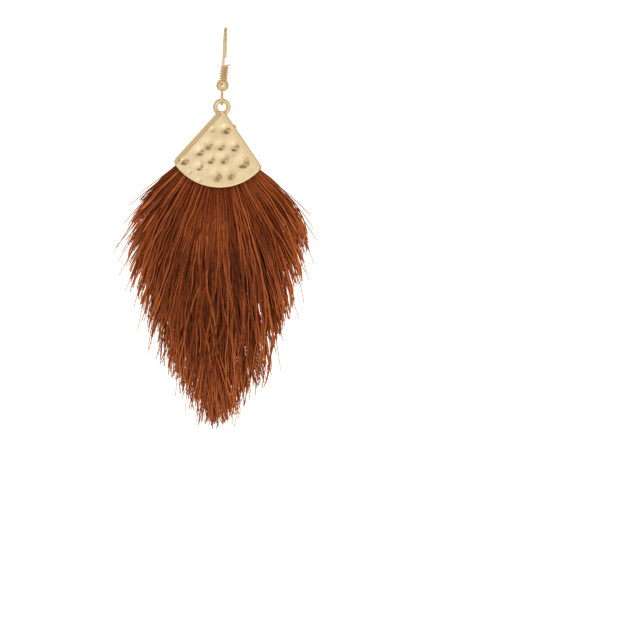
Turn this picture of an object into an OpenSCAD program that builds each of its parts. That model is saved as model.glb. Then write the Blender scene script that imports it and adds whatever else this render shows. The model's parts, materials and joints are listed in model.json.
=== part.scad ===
// Tassel earring on a French ear wire.
// The origin is the underside of the crook's top, where the wire rests in the ear. +Z is up,
// the fan is seen from -Y, and the front leg and all that hangs from it lie in front of the ear.

/* [Ear wire] */
// Thickness of the ear wire
wire_d = 0.6; // [0.5:0.05:0.7]
// Height from the crook's underside to the bottom of the eye
wire_h = 19.25; // [18:0.25:26]
// Radius of the crook, to the middle of the wire
crook_r = 4.3; // [3.8:0.1:5.5]
// How far the free tip hangs below the crook's underside
tip_drop = 7; // [6.5:0.25:9]
// Angle by which the free tip is bent away from the ear, in degrees
tip_kick = 18; // [4:2:30]
// Inside radius of the eye
eye_r = 1; // [0.95:0.05:1.3]
// Sideways lean of the ear wire as it hangs, in degrees
hook_lean = 2.4; // [0:0.2:5]

/* [Bead and coil] */
// Width of the bead
bead_d = 3.1; // [2.6:0.1:4]
// Height of the bead between its two flats
bead_h = 2.7; // [2:0.1:2.8]
// Length of bare wire between the bead and the eye
bead_lift = 0.5; // [0.3:0.1:1.5]
// Outside width of the coil
coil_d = 1.7; // [1.6:0.05:2.2]
// Thickness of the coil's wire
coil_wire = 0.4; // [0.3:0.02:0.42]
// Number of turns in the coil
coil_turns = 7; // [4:1:9]
// Lean of the coil on the ear wire, in degrees
coil_lean = 1.6; // [0:0.2:2]

/* [Cap] */
// Angle between the cap's two slanted sides, in degrees
cap_angle = 76.3; // [60:1:84]
// Height from the middle of the ring to the lowest point of the mouth
cap_drop = 20.1; // [17:0.1:26]
// Radius of the mouth's curve
mouth_r = 13.8; // [12.5:0.1:17]
// Thickness of the cap from front to back
cap_t = 4.8; // [4:0.1:7]
// Radius of the three rounded corners
corner_r = 1.35; // [0.8:0.05:1.6]
// Thickness of the side walls and the back wall
wall = 0.8; // [0.6:0.05:1.1]
// Thickness of the hammered front wall
face_wall = 1.1; // [0.9:0.05:1.4]
// Width of the bevel along each slanted side
bevel_w = 0.95; // [0.5:0.05:1.2]
// Depth of that bevel
bevel_deep = 0.6; // [0.3:0.05:0.8]
// Depth of the hammer marks
dent_deep = 0.4; // [0.15:0.05:0.5]
// Radius of the ring, to the middle of its wire
ring_r = 1.67; // [1.6:0.01:2.2]
// Thickness of the ring's wire
ring_wire = 1.15; // [0.9:0.05:1.2]
// Sideways lean of the cap as it hangs, in degrees
cap_lean = 4.1; // [0:0.1:8]

/* [Tassel] */
// Length of the threads below the cap
tassel_len = 61; // [40:1:90]
// Width of the tassel where it is widest
tassel_w = 48.5; // [36:0.5:60]
// Depth of the tassel from front to back
tassel_t = 9; // [6:0.5:14]
// How much shorter than the leaf's outline the shortest cut ends are
ragged = 3; // [0:0.25:6]

/* [Hidden] */
gold = [0.90, 0.77, 0.52];
rust = [0.49, 0.24, 0.10];
$fn = 48;

// Clearances: bead and coil round the wire, the ring in the eye, the threads' head in the cap
slide_gap = 0.05;
hang_gap = 0.05;
head_gap = 0.08;

// Heights on the ear wire, before it leans
wire_r = wire_d / 2;
crook_z = wire_r - crook_r;
eye_line = eye_r + wire_r;
eye_z = -wire_h + wire_d + eye_r;
shank_foot = eye_z + eye_line;
bead_z = shank_foot + wire_r + bead_lift + bead_h / 2;
coil_foot = bead_z + bead_h / 2 + 2 * slide_gap;
eye_sweep = 322;

// The free end: a short bend, then a stub with a round tip
kick_r = 4 * wire_d;
stub = 0.8 * wire_d;
kick_z = -tip_drop + wire_r + stub * cos(tip_kick) + kick_r * sin(tip_kick);

// Coil: the lower turns touch, and the upper ones are a little apart
coil_line = (coil_d - coil_wire) / 2;
coil_tight = 1.06 * coil_wire;
coil_open = 1.45 * coil_wire;
coil_steps = 14;
coil_sides = 6;
coil_top = coil_rise(coil_turns);

// Where the ring hangs in the eye, and the middle of the ring
hang_drop = wire_h - wire_d - hang_gap - ring_wire / 2;
hang_at = [-hang_drop * sin(hook_lean), -crook_r, -hang_drop * cos(hook_lean)];
ring_at = hang_at - [0, 0, ring_r];

// The cap's outline, seen from the front, with the middle of the ring at its origin.
// The two sides would meet at the sharp apex, and the mouth is an arc round mouth_at.
half_angle = cap_angle / 2;
side_way = [sin(half_angle), -cos(half_angle)];
side_out = [cos(half_angle), sin(half_angle)];
apex_drop = 0.08 * ring_r;
mouth_at = [0, mouth_r - cap_drop];
solid_top = ring_r + ring_wire + wall;
dent_r = 0.062 * cap_drop;
gate_r = 0.7;
gate_proud = 0.3;
gate_drop = 0.236 * cap_drop;

// Threads: how far their head stands out of the mouth, where the locks start, and the bearing of
// the outermost lock from the mouth's middle
head_out = 0.9;
lock_lift = 3 * head_gap;
lock_wide = 0.09 * tassel_w;
lock_thick = 0.3 * tassel_t;
mouth_half = bearing(side_meets(wall + 0.25 * lock_wide, mouth_r));

// Hammer marks: sideways place as a share of the face's half width at that height, height as a
// share of cap_drop, and size as a share of dent_r
ACROSS = 0;
DOWN = 1;
SIZE = 2;
dents = [
    [0.47, 0.28, 1.00], [-0.45, 0.30, 0.75],
    [-0.41, 0.47, 1.00], [0.09, 0.47, 1.00], [0.53, 0.47, 1.05],
    [-0.58, 0.59, 0.85], [0.82, 0.54, 0.60],
    [-0.81, 0.70, 1.00], [-0.19, 0.68, 0.95], [0.18, 0.68, 1.00], [0.65, 0.70, 1.15],
    [-0.40, 0.78, 0.90], [-0.54, 0.86, 0.50],
    [0.00, 0.87, 1.10], [0.30, 0.85, 1.00], [-0.30, 0.92, 0.45], [0.45, 0.90, 0.45],
];

// Locks of the tassel: place along the mouth and sideways reach of the tip, as shares of the half
// mouth and half tassel_w, and fall of the tip below the mouth as a share of tassel_len.
// Each row stands for a lock on both sides, and the first for one in the middle.
PLACE = 0;
REACH = 1;
FALL = 2;
long_locks = [
    [0.00, 0.01, 1.00], [0.10, 0.13, 0.96], [0.20, 0.27, 0.90], [0.31, 0.43, 0.83],
    [0.42, 0.57, 0.75], [0.53, 0.69, 0.65], [0.64, 0.79, 0.54], [0.75, 0.87, 0.42],
    [0.85, 0.94, 0.31], [0.93, 0.95, 0.19], [1.00, 0.80, 0.08],
];
short_locks = [
    [0.07, 0.08, 0.91], [0.21, 0.25, 0.82], [0.36, 0.42, 0.72], [0.51, 0.57, 0.60],
    [0.66, 0.70, 0.47], [0.80, 0.81, 0.32], [0.93, 0.83, 0.17],
];
lock_sides = 6;
lock_steps = 8;
flare_at = 0.3;

function lean(p, angle) = [
    p[0] * cos(angle) + p[1] * sin(angle),
    -p[0] * sin(angle) + p[1] * cos(angle),
];
function arc(at, r, from, to, steps) = [
    for (i = [0:steps]) let (a = from + (to - from) * i / steps) at + r * [cos(a), sin(a)]
];
function mirrored(points) = [for (i = [len(points) - 1:-1:0]) [-points[i][0], points[i][1]]];

// Where a line set in from the right side meets a circle round the mouth's middle
function side_meets(inset, r) =
    let (
        from = [0, -apex_drop] - inset * side_out - mouth_at,
        along = -from * side_way + sqrt(pow(from * side_way, 2) - from * from + r * r)
    )
    mouth_at + from + along * side_way;

// Bearing of a point seen from the mouth's middle, in degrees from straight down
function bearing(p) = atan2(p[0] - mouth_at[0], mouth_at[1] - p[1]);

// Half width of the fan at a height, inset from its side
function half_width(z, inset = 0) =
    (-z - apex_drop) * tan(half_angle) - inset / cos(half_angle);

// Height of the coil's wire above its foot, after a number of turns
function coil_rise(turn) =
    coil_wire / 2 + coil_tight * turn
        + (coil_open - coil_tight) * pow(turn / coil_turns, 2) * turn / 2;

// Section of a tube, square to the way it runs
function section(at, way, side, wide, thick, sides) =
    let (
        w = way / norm(way),
        s = side - (side * w) * w,
        u = s / norm(s),
        v = cross(w, u)
    )
    [for (i = [0:sides - 1])
        at + u * wide / 2 * cos(360 * i / sides) + v * thick / 2 * sin(360 * i / sides)];

// Closed tube through a list of sections
module skin(sections) {
    n = len(sections[0]);
    last = len(sections) - 1;
    points = [for (s = sections) each s];
    faces = concat(
        [[for (i = [0:n - 1]) i]],
        [for (j = [0:last - 1], i = [0:n - 1])
            [j * n + i, (j + 1) * n + i, (j + 1) * n + (i + 1) % n, j * n + (i + 1) % n]],
        [[for (i = [n - 1:-1:0]) last * n + i]]
    );
    polyhedron(points, faces, convexity = 4);
}

// Part of a ring of wire that stands in the YZ plane; angles run from the foot to the front
module bent_wire(r, from, sweep) {
    rotate([0, 90, 0]) rotate([0, 0, from])
        rotate_extrude(angle = sweep) translate([r, 0]) circle(d = wire_d);
}

module leaning() {
    rotate([0, hook_lean, 0]) children();
}

module in_cap() {
    translate(ring_at) rotate([0, cap_lean, 0]) children();
}

module ear_hook() {
    color(gold) leaning() {
        translate([0, 0, crook_z]) bent_wire(crook_r, 90, 180);
        translate([0, -crook_r, shank_foot]) cylinder(d = wire_d, h = crook_z - shank_foot);
        translate([0, -crook_r, shank_foot]) sphere(d = wire_d);
        translate([0, -crook_r, eye_z]) bent_wire(eye_line, 180, eye_sweep);
        translate([0, crook_r, kick_z]) cylinder(d = wire_d, h = crook_z - kick_z);
        translate([0, crook_r + kick_r, kick_z]) {
            bent_wire(kick_r, 270, tip_kick);
            rotate([tip_kick, 0, 0]) translate([0, -kick_r, -stub]) {
                cylinder(d = wire_d, h = stub);
                sphere(d = wire_d);
            }
        }
    }
}

module coil() {
    steps = coil_turns * coil_steps;
    turns = [for (i = [0:steps])
        let (a = 90 - 360 * i / coil_steps)
        [coil_line * cos(a), coil_line * sin(a), coil_rise(i / coil_steps)]];
    end = turns[steps];
    free_end = [
        end + [0.5 * coil_line, 0, 0.15 * coil_wire],
        end + [coil_line, -0.05 * coil_line, 0.5 * coil_wire],
        end + [1.6 * coil_line, -0.1 * coil_line, 1.3 * coil_wire],
    ];
    route = concat(turns, free_end);
    last = len(route) - 1;
    middle = coil_top / 2;
    color(gold) leaning() translate([0, -crook_r, coil_foot + middle])
        rotate([0, coil_lean, 0]) translate([0, 0, -middle])
        skin([for (i = [0:last])
            section(route[i], route[min(i + 1, last)] - route[max(i - 1, 0)], [0, 0, 1],
                coil_wire, coil_wire, coil_sides)]);
}

module bead() {
    color(gold) leaning() translate([0, -crook_r, bead_z]) difference() {
        intersection() {
            sphere(d = bead_d);
            cube([2 * bead_d, 2 * bead_d, bead_h], center = true);
        }
        cylinder(d = wire_d + 2 * slide_gap, h = 2 * bead_h, center = true);
    }
}

// The fan's outline with its three round corners
module fan() {
    apex = [0, -apex_drop - corner_r / sin(half_angle)];
    corner = side_meets(corner_r, mouth_r - corner_r);
    turn = bearing(corner);
    right = concat(
        arc(apex, corner_r, 90, half_angle, 5),
        arc(corner, corner_r, half_angle, turn - 90, 7),
        arc(mouth_at, mouth_r, turn - 90, -90, 14)
    );
    polygon(concat(right, mirrored(right)));
}

// Turns an outline to stand up, from one depth to another, the front being negative
module upright(front, back) {
    translate([0, back, 0]) rotate([90, 0, 0]) linear_extrude(back - front) children();
}

// Space for the threads inside the cap, open at the mouth, set in by a gap for their head
module hollow(gap = 0, out = 4 * wall) {
    top = -solid_top - gap;
    foot = side_meets(wall + gap, mouth_r + out);
    right = concat(
        [[half_width(top, wall + gap), top]],
        arc(mouth_at, mouth_r + out, bearing(foot) - 90, -90, 14)
    );
    upright(face_wall + gap - cap_t / 2, cap_t / 2 - wall - gap)
        polygon(concat(right, mirrored(right)));
}

// Slanted cut along one side of the front
module bevel(side) {
    slope = atan2(bevel_deep, bevel_w);
    long = 2 * cap_drop;
    mirror([side < 0 ? 1 : 0, 0, 0])
        translate([0, -cap_t / 2 + bevel_deep, -apex_drop])
        rotate([0, -half_angle, 0]) rotate([0, 0, slope])
        translate([-long / 2, -long / 2, 0]) cube([long, long, 2 * long], center = true);
}

module dent(row) {
    r = dent_r * row[SIZE];
    deep = dent_deep * min(1, row[SIZE]);
    ball = (r * r + deep * deep) / (2 * deep);
    z = -cap_drop * row[DOWN];
    x = row[ACROSS] * min(half_width(z, bevel_w), mouth_r);
    translate([x, -cap_t / 2 - ball + deep, z]) sphere(r = ball);
}

// Small nub on the right side, where the metal ran in
module gate() {
    z = -gate_drop;
    sunk = gate_r - gate_proud;
    translate([half_width(z, sunk), -0.15 * cap_t, z]) sphere(r = gate_r);
}

module cap() {
    color(gold) in_cap() {
        rotate([90, 0, 0]) rotate_extrude() translate([ring_r, 0]) circle(d = ring_wire);
        difference() {
            union() {
                upright(-cap_t / 2, cap_t / 2) fan();
                gate();
            }
            hollow();
            bevel(1);
            bevel(-1);
            for (row = dents) dent(row);
        }
    }
}

// One lock from the mouth to its tip, in the front layer (-1), the middle (0) or the back (1)
module lock(place, reach, fall, layer) {
    a = place * mouth_half;
    from = lean(mouth_at + (mouth_r + lock_lift) * [sin(a), -cos(a)], cap_lean);
    way = lean([sin(a), -cos(a)], cap_lean);
    tip = lean([0, -cap_drop], cap_lean) + [reach * tassel_w / 2, -fall];
    bend = from + way * 0.45 * norm(tip - from);
    points = [for (i = [0:lock_steps]) let (t = i / lock_steps)
        pow(1 - t, 2) * from + 2 * t * (1 - t) * bend + t * t * tip];
    sections = [for (i = [0:lock_steps])
        let (
            t = i / lock_steps,
            p = points[i],
            q = points[min(i + 1, lock_steps)] - points[max(i - 1, 0)],
            far = t * norm(tip - from) / tassel_len,
            swell = sin(90 * min(1, far / flare_at)),
            taper = sin(180 * pow(t, 0.7)),
            y = layer * (0.08 * cap_t * (1 - swell) + lock_thick * swell * (1 - pow(far, 3))),
            wide = lock_wide * (0.5 + 0.5 * taper) * (1 - 0.75 * pow(t, 8)),
            thick = lock_thick * (0.6 + 0.5 * swell) * (1 - 0.85 * pow(t, 4))
        )
        section([p[0], y, p[1]], [q[0], 0, q[1]], [-q[1], 0, q[0]], wide, thick, lock_sides)];
    skin(sections);
}

// Rows of locks on both sides in one layer. A fixed pattern makes some ends shorter, and the middle
// lock, which sets the length, is never one of them.
module lock_rows(rows, layer) {
    for (i = [0:len(rows) - 1], side = [-1, 1]) if (side > 0 || rows[i][PLACE] > 0) {
        uneven = max(0, sin(137 * (i + 1) * (2 * side + 3) + 70 * layer));
        shorter = rows[i][PLACE] > 0 ? ragged * uneven : 0;
        lock(side * rows[i][PLACE], side * rows[i][REACH],
            rows[i][FALL] * tassel_len - shorter, layer);
    }
}

module tassel() {
    color(rust) {
        in_cap() hollow(head_gap, head_out);
        translate(ring_at) {
            lock_rows(long_locks, 0);
            lock_rows(short_locks, -1);
            lock_rows(short_locks, 1);
        }
    }
}

ear_hook();
coil();
bead();
cap();
tassel();
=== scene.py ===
"""Tassel earring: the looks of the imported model, laid out as an add-on and run as a script."""

import json
import math
from types import SimpleNamespace as Named

import bmesh
import bpy
import numpy as np
from bpy.props import FloatProperty, FloatVectorProperty, IntProperty, PointerProperty
from mathutils import Matrix, Vector


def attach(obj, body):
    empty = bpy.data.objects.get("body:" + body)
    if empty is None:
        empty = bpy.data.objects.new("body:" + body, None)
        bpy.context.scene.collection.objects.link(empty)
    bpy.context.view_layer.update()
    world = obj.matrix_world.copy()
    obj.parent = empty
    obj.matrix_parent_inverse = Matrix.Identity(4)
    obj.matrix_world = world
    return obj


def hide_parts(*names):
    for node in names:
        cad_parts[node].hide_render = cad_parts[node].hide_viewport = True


bl_info = {
    "name": "Tassel Earring",
    "version": (1, 0, 0),
    "blender": (4, 5, 0),
    "location": "View3D > Sidebar > Tassel Earring",
    "description": "Hammered fan cap with a thread tassel on a French ear wire",
    "category": "Add Mesh",
}

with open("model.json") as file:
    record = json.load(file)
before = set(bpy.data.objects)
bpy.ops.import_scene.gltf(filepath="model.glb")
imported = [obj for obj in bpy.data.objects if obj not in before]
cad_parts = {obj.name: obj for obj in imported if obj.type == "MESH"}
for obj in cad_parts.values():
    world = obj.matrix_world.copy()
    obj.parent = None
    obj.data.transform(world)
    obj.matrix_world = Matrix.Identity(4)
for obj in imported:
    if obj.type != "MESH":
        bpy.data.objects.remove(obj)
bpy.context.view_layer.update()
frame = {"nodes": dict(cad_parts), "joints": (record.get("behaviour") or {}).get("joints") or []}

MM = 0.001

# Where the ring of the cap hangs in the eye of the ear wire, from the frame
HANG_AT = Vector(frame["joints"][0]["pos_m"])

# The leaf that the cut ends follow, from its left corner round its tip to its right corner. Each
# row: place of a thread along the mouth, from -1 at the left to 1 at the right, and sideways reach
# and fall of its end, as shares of the half width and the length
LEAF = (
    (-1.00, -0.82, 0.06),
    (-0.93, -0.92, 0.15),
    (-0.87, -0.97, 0.20),
    (-0.80, -0.95, 0.29),
    (-0.73, -0.91, 0.36),
    (-0.66, -0.86, 0.42),
    (-0.58, -0.80, 0.50),
    (-0.50, -0.76, 0.57),
    (-0.42, -0.69, 0.64),
    (-0.33, -0.58, 0.72),
    (-0.25, -0.47, 0.79),
    (-0.17, -0.36, 0.86),
    (-0.09, -0.22, 0.92),
    (-0.03, -0.08, 0.98),
    (0.02, 0.02, 1.02),
    (0.08, 0.12, 0.99),
    (0.15, 0.24, 0.93),
    (0.22, 0.38, 0.88),
    (0.30, 0.50, 0.81),
    (0.38, 0.60, 0.73),
    (0.46, 0.68, 0.66),
    (0.55, 0.75, 0.57),
    (0.64, 0.83, 0.48),
    (0.73, 0.89, 0.40),
    (0.82, 0.93, 0.33),
    (0.91, 0.96, 0.27),
    (1.00, 0.97, 0.20),
)

# Hammer marks: place across and below the middle of the ring, half width and half height, all in
# mm, and depth as a share of the full depth
MARKS = (
    (1.80, 5.60, 1.22, 1.26, 0.9),
    (-1.95, 5.95, 1.20, 0.70, 0.3),
    (-2.62, 9.80, 1.22, 1.22, 1.0),
    (0.47, 9.95, 1.10, 1.20, 1.0),
    (4.00, 9.82, 1.26, 1.30, 1.0),
    (-4.47, 11.60, 1.01, 1.09, 0.9),
    (-8.40, 14.25, 1.50, 1.01, 1.0),
    (-1.74, 13.45, 1.14, 1.14, 0.9),
    (1.47, 13.34, 1.20, 1.14, 1.0),
    (6.55, 13.90, 1.58, 1.14, 1.0),
    (-4.42, 15.40, 1.05, 1.05, 0.9),
    (-6.77, 17.15, 0.59, 0.59, 0.3),
    (-0.05, 17.38, 1.35, 1.14, 1.0),
    (3.50, 17.10, 1.20, 1.14, 1.0),
    (-4.13, 18.85, 0.67, 0.42, 0.3),
)

# A mark is made by a wide shallow blow and one of a round punch in its middle. Each row: falloff
# of the blow, its place across and up and its reach as shares of the mark's half size, and its
# depth as a share of the mark's
BLOWS = (
    ("SMOOTH", -0.25, 0.25, 1.8, 0.24),
    ("SPHERE", -0.03, 0.0, 0.80, 0.27),
)
# A mark wider than high takes two such pairs side by side: how far apart, as a share of the
# difference, and how deep they still are
TWIN_APART = 0.6
TWIN_DEEP = 0.65
# How far a blow may reach over the bevel's edge, in mm, and the share of the mark that it keeps
OVER_BEVEL = 0.35
LEAST_REACH = 0.8

# Faint blows between the marks: number, then in mm the ranges of their place below the ring, depth
# and reach, how far they keep off the sides and how near the middle, and greatest depth by reach
FAINT = Named(
    count=50, down=(5, 19), deep=(0.01, 0.06), reach=(1.3, 2.6), inset=2.2, within=10, steep=0.022
)

# Where the lines of the slanted sides meet, below the middle of the ring, as a share of its radius
SIDES_MEET = 0.08

# Nub on the right side: radius and how far its middle is sunk, in mm, and its place below the ring
# and to the front, as shares of the cap's height and thickness
NUB = Named(radius=0.65, sunk=0.25, down=0.236, front=0.15)

# Coil: height of a turn as a multiple of the wire, how much of it the first turn climbs, how late
# it does so, as a power, and how far the turns are levelled in front, where 1 is level
COIL = Named(pitch=1.56, first=0.78, late=1.6, level=0.8)
# Sharp end of the coil: steps right and to the back, as shares of its radius, and up, in mm
COIL_END = ((0.5, 0, 0.06), (0.5, -0.05, 0.16), (0.6, -0.05, 0.32))

# Added lightness of a thread along its length, from the mouth to its cut end: painted light near
# the mouth, painted shade in the middle, and lighter towards the cut end
TONE_AND_PAINTED_LIGHT_ALONG = ((0.0, 0.22), (0.2, 0.19), (0.42, 0.0), (0.72, 0.08), (1.0, 0.50))

# Single threads that stick out: place along the mouth, and where the end hangs, across and below
# the middle of the ring, in mm
STRAYS = (
    (-0.90, -27.6, 36.9),
    (-0.80, -26.0, 39.0),
    (-0.74, -26.0, 42.6),
    (-0.98, -23.6, 24.9),
    (-1.00, -20.6, 21.5),
    (-0.64, -22.5, 50.6),
    (-0.50, -18.9, 62.0),
    (-0.95, -24.9, 29.6),
    (-0.84, -26.8, 35.5),
    (-0.70, -24.6, 46.3),
    (-0.56, -21.6, 56.2),
    (0.98, 22.3, 27.3),
    (0.96, 23.2, 30.6),
    (0.93, 23.8, 33.6),
    (0.84, 23.4, 39.5),
    (0.76, 22.2, 43.8),
    (0.66, 20.9, 49.4),
    (0.58, 19.5, 53.5),
    (0.42, 14.7, 66.4),
    (-0.20, -10.6, 72.9),
    (-0.14, -8.1, 76.7),
    (-0.05, -3.9, 80.1),
    (0.02, 0.2, 81.2),
)

# Half of the tassel's middle part, and where the sides begin for tufts and for threads, as places
# along the mouth
MIDDLE = 0.3
TUFT_SIDES = (-MIDDLE, 0.35)
THREAD_SIDES = (-MIDDLE, 0.4)
# What differs at the left, in the middle and at the right: how far clumps draw ends in, how much
# of a root's place is the thread's own, share of loose threads, and size of the waves
CLUMP_PULL = (0.74, 0.42, 0.70)
OWN_PLACE = (0.03, 0.15, 0.04)
LOOSE_SHARE = (0.14, 0.33, 0.16)
WAVY = (0.60, 1.0, 0.68)
# How far clumps draw loose threads in, how thick loose ones and strays are, and how freely bound
# ones wave, all against the others
LOOSE_PULL, LOOSE_THICK, STRAY_THICK, BOUND = 0.35, 0.75, 0.65, 0.3

# Clumps of ends: from, to and how far apart, as places along the mouth
CLUMPS = ((-1.0, -0.3, 0.030), (-0.3, 0.4, 0.036), (0.4, 1.0, 0.030))

# How much closer the tufts stand in the middle, as a power, and the tufts that cross over others:
# their share, how near the middle they are, and how far aside they go, as places along the mouth
TUFT_CROWD = 1.35
CROSSING = Named(share=0.09, within=0.65, aside=(-0.24, 0.12))

# Random spread: of places along the mouth, where a tuft's is a share of the gap between tufts, of
# places in depth, and of a thread's first direction, in radians
SPREAD = Named(
    tuft=0.4, root=0.034, clump=0.006, end=0.006, loose=0.08, cut=0.003, deep=0.30, way=0.035
)

# How far at most ends stay above the leaf's outline, in mm: tufts, loose threads, and clumps and
# single threads in the middle and at the sides. By chance most stay above it by less, with the two
# powers of a beta distribution
SHORT = Named(tuft=7, loose=18, clump=(2.0, 3.2), thread=(4.0, 8.5))
CHANCE = Named(tuft=(1.2, 2.6), loose=(1.0, 1.8), thread=(1.0, 2.4))
# How far all are longer to make up for it: places from the middle of the mouth, and mm
LONGER = ((0, 0.12, 0.8, 1), (-1.1, 1.2, 2.4, 1.4))

# Tone of a thread: the least, what its tuft, its own chance and crossing over add, where crossing
# over adds a painted highlight, and the painted light that is added at the two sides, at the mouth
# and over the length, at the left and at the right
TONE = Named(least=0.03, tuft=0.06, own=0.62, crossing=0.09)
PAINTED_SIDE_LIGHT = ((0.11, 0.44), (0.22, 0.34))

# Places in depth, from -1 at the front to 1 at the back: share of the tuft's at a root, farthest
# end, ranges of crossing and of loose ends at the surface, and where the core ends
DEPTH = Named(tuft=0.3, most=1.05, crossing=(0.92, 1.06), loose=(0.5, 1.08), core=0.33)

# How far inside the mouth threads start, in mm. Then, at the left and right, their first direction
# against their place, and the bulge of their path
INSIDE = (1.6, 2.6)
SPLAY = (0.92, 1.165)
BULGE = (0.08, 0.25)

# Waves: height in mm, where the quick one's is a share of the slow one's, and radians over the
# tassel's length. Slow, quick, drift and flow are shared, and the others are a thread's own
HIGH = Named(slow=1.1, quick=0.6, drift=1.6, flow=1.2, own_drift=3.6, ripple=0.50, crimp=0.13)
TURN = Named(slow=6.0, quick=14.0, flow=4, ripple=20.0, nod=17.0, crimp=46.0)

# Share of the length over which the tassel swells out of the mouth, and by how much it thins after
SWELL_BY = 0.3
THIN_BY = 0.72

# How bright the studio room is, and its panels: direction round from the front to the right and
# up, how far from it the panel is full and gone, all in degrees, and its brightness
ROOM_LEVEL = 0.62
PANELS = (
    (0, -90, 25, 80, 0.85),
    (0, 0, 38, 90, 0.90),
    (18, -18, 8, 34, 1.08),
    (0, -56, 12, 28, 0.75),
    (-49, 31, 12, 22, 0.69),
    (-15, 27, 8, 16, 0.26),
    (3, 26, 8, 15, 0.18),
    (-30, 0, 5, 13, 0.36),
    (-17, 2, 3, 7, 0.34),
    (0, -20, 3, 8, 1.9),
)


def deselect():
    """Leaves edit mode and selects nothing."""
    if bpy.context.mode != "OBJECT":
        bpy.ops.object.mode_set(mode="OBJECT")
    bpy.ops.object.select_all(action="DESELECT")


def take(obj):
    """Selects one object alone and makes it active."""
    deselect()
    obj.select_set(True)
    bpy.context.view_layer.objects.active = obj
    return obj


def begin(name, add, **place):
    """Adds a primitive and makes its place part of its mesh."""
    deselect()
    add(**place)
    obj = bpy.context.active_object
    obj.name = obj.data.name = name
    bpy.ops.object.transform_apply(location=True, rotation=True, scale=True)
    return obj


def edit(obj):
    """Opens an object in edit mode with all of it selected."""
    take(obj)
    bpy.ops.object.mode_set(mode="EDIT")
    bpy.ops.mesh.select_all(action="SELECT")


def turn_out():
    """In edit mode, turns all normals to the outside, and leaves it."""
    bpy.ops.mesh.select_all(action="SELECT")
    bpy.ops.mesh.normals_make_consistent(inside=False)
    bpy.ops.object.mode_set(mode="OBJECT")


def pick(obj, kind, test):
    """In edit mode, selects the elements of one kind that pass a test."""
    bpy.ops.mesh.select_mode(type=kind)
    bpy.ops.mesh.select_all(action="DESELECT")
    mesh = bmesh.from_edit_mesh(obj.data)
    for item in {"VERT": mesh.verts, "EDGE": mesh.edges, "FACE": mesh.faces}[kind]:
        if test(item):
            item.select_set(True)
    bmesh.update_edit_mesh(obj.data)


def cut(obj, at, out):
    """Cuts away what lies past a plane, and closes the cut."""
    edit(obj)
    bpy.ops.mesh.bisect(
        plane_co=at, plane_no=out, use_fill=True, clear_outer=True, threshold=1e-8
    )
    bpy.ops.object.mode_set(mode="OBJECT")


def modify(obj, kind, **settings):
    """Adds a modifier and applies it."""
    modifier = obj.modifiers.new(kind, kind)
    for key, value in settings.items():
        setattr(modifier, key, value)
    take(obj)
    bpy.ops.object.modifier_apply(modifier=modifier.name)


def join(first, *others):
    """Joins objects into the first one."""
    take(first)
    for obj in others:
        obj.select_set(True)
    bpy.ops.object.join()
    return first


def settle(obj, at, turns):
    """Moves an object to its place, turn by turn, and makes the place part of its mesh."""
    take(obj)
    matrix = Matrix.Translation(at)
    for turn in turns:
        matrix = matrix @ turn
    obj.matrix_world = matrix
    bpy.ops.object.transform_apply(location=True, rotation=True, scale=True)
    return obj


def sideways(angle):
    """A lean to the side, about the axis that runs from front to back."""
    return Matrix.Rotation(angle, 4, "Y")


def hand_over(obj, body, slot, material, *nodes):
    """Gives a finished piece its material and its body, and hides the nodes that it stands for.
    Its slot is not used.
    """
    obj.data.materials.clear()
    obj.data.materials.append(material)
    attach(obj, body)
    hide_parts(*nodes)


def new_material(name):
    """A material with its node tree and its Principled shader."""
    material = bpy.data.materials.new(name)
    material.use_nodes = True
    tree = material.node_tree
    return material, tree, tree.nodes["Principled BSDF"]


def fill(tree, made, inputs):
    """Gives the inputs of a shader node their values and links."""
    for key, value in inputs.items():
        if isinstance(value, bpy.types.NodeSocket):
            tree.links.new(value, made.inputs[key])
        else:
            made.inputs[key].default_value = value


def node(tree, kind, inputs=None, **settings):
    """Adds a shader node, with its settings, values and links."""
    made = tree.nodes.new(kind)
    for key, value in settings.items():
        setattr(made, key, value)
    fill(tree, made, inputs or {})
    return made


def noise(tree, place, scale, detail=2.0, rough=0.5):
    """A noise from 0 to 1."""
    inputs = {"Vector": place, "Scale": scale, "Detail": detail, "Roughness": rough}
    return node(tree, "ShaderNodeTexNoise", inputs).outputs["Fac"]


def weigh(tree, value, by, plus):
    """A value times a factor, plus another value."""
    inputs = {0: value, 1: by, 2: plus}
    return node(tree, "ShaderNodeMath", inputs, operation="MULTIPLY_ADD").outputs["Value"]


def remap(tree, value, start, end, low=0.0, high=1.0, **settings):
    """A value moved from one range to another."""
    inputs = {"Value": value, "From Min": start, "From Max": end, "To Min": low, "To Max": high}
    return node(tree, "ShaderNodeMapRange", inputs, **settings).outputs["Result"]


def attribute(tree, name):
    """A value that the mesh carries."""
    return node(tree, "ShaderNodeAttribute", attribute_name=name).outputs["Fac"]


def ramp(tree, factor, *stops):
    """A colour ramp from a factor, with stops of place and colour."""
    made = node(tree, "ShaderNodeValToRGB", {"Fac": factor})
    elements = made.color_ramp.elements
    while len(elements) < len(stops):
        elements.new(0.5)
    for element, (place, colour) in zip(elements, stops):
        element.position = place
        element.color = (*colour, 1.0)
    return made.outputs["Color"]


def shade(colour, by):
    """A colour made lighter or darker."""
    return tuple(min(1.0, c * by) for c in colour)


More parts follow.
